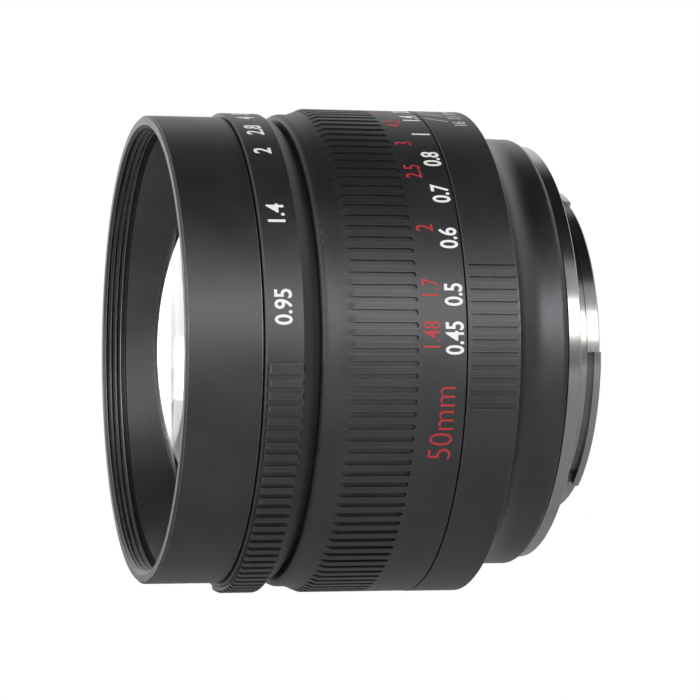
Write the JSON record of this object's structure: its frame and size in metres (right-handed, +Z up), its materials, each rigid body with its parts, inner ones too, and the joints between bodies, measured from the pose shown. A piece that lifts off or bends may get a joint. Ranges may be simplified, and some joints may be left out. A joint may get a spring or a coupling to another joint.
{
  "type": "prime camera lens",
  "caption": "Fast manual-focus prime lens with aperture ring, helicoid focus ring, iris, glass elements and a bayonet mount.",
  "frame": {"origin": "centre of the bayonet flange's rear seating face, on the optical axis", "axes": "+Y along the optical axis out of the mount towards the camera, -Y out of the front glass, +Z up through the index line"},
  "size_m": [0.0674, 0.0591, 0.0674],
  "materials": {
    "optical_glass": "polished, coated",
    "blackened_steel": "matt black oxide",
    "chromed_brass": "polished chrome",
    "brass": "machined",
    "bare_aluminium": "machined",
    "steel": "machined",
    "white_enamel": "gloss",
    "red_enamel": "gloss",
    "matt_black_aluminium": "matt black anodised",
    "satin_black_aluminium": "satin black anodised"
  },
  "bodies": {
    "mount_base": {"base_barrel": "matt_black_aluminium", "bayonet_mount": "chromed_brass", "guide_keys": "brass", "helicoid_retainer": "matt_black_aluminium", "key_screws": "steel", "mount_index_dot": "white_enamel", "mount_screws": "steel", "mount_shim": "steel", "rear_baffle": "matt_black_aluminium", "rear_cover": "satin_black_aluminium", "scale_ring": "satin_black_aluminium"},
    "aperture_ring": {"aperture_ring": "satin_black_aluminium", "aperture_drive_pin": "steel", "iris_actuator": "matt_black_aluminium"},
    "iris_blade_01": {"iris_blade_01": "blackened_steel"},
    "iris_blade_02": {"iris_blade_02": "blackened_steel"},
    "iris_blade_03": {"iris_blade_03": "blackened_steel"},
    "iris_blade_04": {"iris_blade_04": "blackened_steel"},
    "iris_blade_05": {"iris_blade_05": "blackened_steel"},
    "iris_blade_06": {"iris_blade_06": "blackened_steel"},
    "iris_blade_07": {"iris_blade_07": "blackened_steel"},
    "iris_blade_08": {"iris_blade_08": "blackened_steel"},
    "iris_blade_09": {"iris_blade_09": "blackened_steel"},
    "iris_blade_10": {"iris_blade_10": "blackened_steel"},
    "focus_ring": {"focus_ring": "satin_black_aluminium", "focus_helicoid": "brass", "helicoid_screws": "steel"},
    "lens_unit": {"front_ring": "satin_black_aluminium", "front_trim_ring": "satin_black_aluminium", "unit_barrel": "matt_black_aluminium", "front_cell": "matt_black_aluminium", "doublet_retainer": "matt_black_aluminium", "front_element": "optical_glass", "second_element": "optical_glass", "third_element": "optical_glass", "iris_plate": "matt_black_aluminium", "lens_helicoid": "bare_aluminium", "barrel_screws": "steel", "rear_cell": "matt_black_aluminium", "fourth_element": "optical_glass", "fifth_element": "optical_glass", "sixth_element": "optical_glass", "rear_element": "optical_glass", "doublet_front_ring": "matt_black_aluminium", "rear_spacer": "matt_black_aluminium", "rear_retainer": "matt_black_aluminium"}
  },
  "joints": [
    {"name": "focus_turn", "type": "hinge", "parent": "mount_base", "child": "focus_ring", "pos_m": [0, 0, 0], "axis": [0, -1, 0], "range_deg": [-6.2, 86.9]},
    {"name": "lens_travel", "type": "slide", "parent": "mount_base", "child": "lens_unit", "axis": [0, -1, 0], "range_m": [-0.00049, 0.00686]},
    {"name": "aperture_turn", "type": "hinge", "parent": "lens_unit", "child": "aperture_ring", "pos_m": [0, 0, 0], "axis": [0, -1, 0], "range_deg": [-11.3, 80]},
    {"name": "iris_blade_01_swing", "type": "hinge", "parent": "lens_unit", "child": "iris_blade_01", "pos_m": [0.026, 0, 0], "axis": [0, -1, 0], "range_deg": [-31.6, 4.47]},
    {"name": "iris_blade_02_swing", "type": "hinge", "parent": "lens_unit", "child": "iris_blade_02", "pos_m": [0.02103, 0, 0.01528], "axis": [0, -1, 0], "range_deg": [-31.6, 4.47]},
    {"name": "iris_blade_03_swing", "type": "hinge", "parent": "lens_unit", "child": "iris_blade_03", "pos_m": [0.00803, 0, 0.02473], "axis": [0, -1, 0], "range_deg": [-31.6, 4.47]},
    {"name": "iris_blade_04_swing", "type": "hinge", "parent": "lens_unit", "child": "iris_blade_04", "pos_m": [-0.00803, 0, 0.02473], "axis": [0, -1, 0], "range_deg": [-31.6, 4.47]},
    {"name": "iris_blade_05_swing", "type": "hinge", "parent": "lens_unit", "child": "iris_blade_05", "pos_m": [-0.02103, 0, 0.01528], "axis": [0, -1, 0], "range_deg": [-31.6, 4.47]},
    {"name": "iris_blade_06_swing", "type": "hinge", "parent": "lens_unit", "child": "iris_blade_06", "pos_m": [-0.026, 0, 0], "axis": [0, -1, 0], "range_deg": [-31.6, 4.47]},
    {"name": "iris_blade_07_swing", "type": "hinge", "parent": "lens_unit", "child": "iris_blade_07", "pos_m": [-0.02103, 0, -0.01528], "axis": [0, -1, 0], "range_deg": [-31.6, 4.47]},
    {"name": "iris_blade_08_swing", "type": "hinge", "parent": "lens_unit", "child": "iris_blade_08", "pos_m": [-0.00803, 0, -0.02473], "axis": [0, -1, 0], "range_deg": [-31.6, 4.47]},
    {"name": "iris_blade_09_swing", "type": "hinge", "parent": "lens_unit", "child": "iris_blade_09", "pos_m": [0.00803, 0, -0.02473], "axis": [0, -1, 0], "range_deg": [-31.6, 4.47]},
    {"name": "iris_blade_10_swing", "type": "hinge", "parent": "lens_unit", "child": "iris_blade_10", "pos_m": [0.02103, 0, -0.01528], "axis": [0, -1, 0], "range_deg": [-31.6, 4.47]}
  ],
  "couplings": [
    {"joint": "lens_travel", "follows": "focus_turn", "m_per_rad": 0.00452},
    {"joint": "iris_blade_01_swing", "follows": "aperture_turn", "ratio": -0.39485},
    {"joint": "iris_blade_02_swing", "follows": "aperture_turn", "ratio": -0.39485},
    {"joint": "iris_blade_03_swing", "follows": "aperture_turn", "ratio": -0.39485},
    {"joint": "iris_blade_04_swing", "follows": "aperture_turn", "ratio": -0.39485},
    {"joint": "iris_blade_05_swing", "follows": "aperture_turn", "ratio": -0.39485},
    {"joint": "iris_blade_06_swing", "follows": "aperture_turn", "ratio": -0.39485},
    {"joint": "iris_blade_07_swing", "follows": "aperture_turn", "ratio": -0.39485},
    {"joint": "iris_blade_08_swing", "follows": "aperture_turn", "ratio": -0.39485},
    {"joint": "iris_blade_09_swing", "follows": "aperture_turn", "ratio": -0.39485},
    {"joint": "iris_blade_10_swing", "follows": "aperture_turn", "ratio": -0.39485}
  ]
}
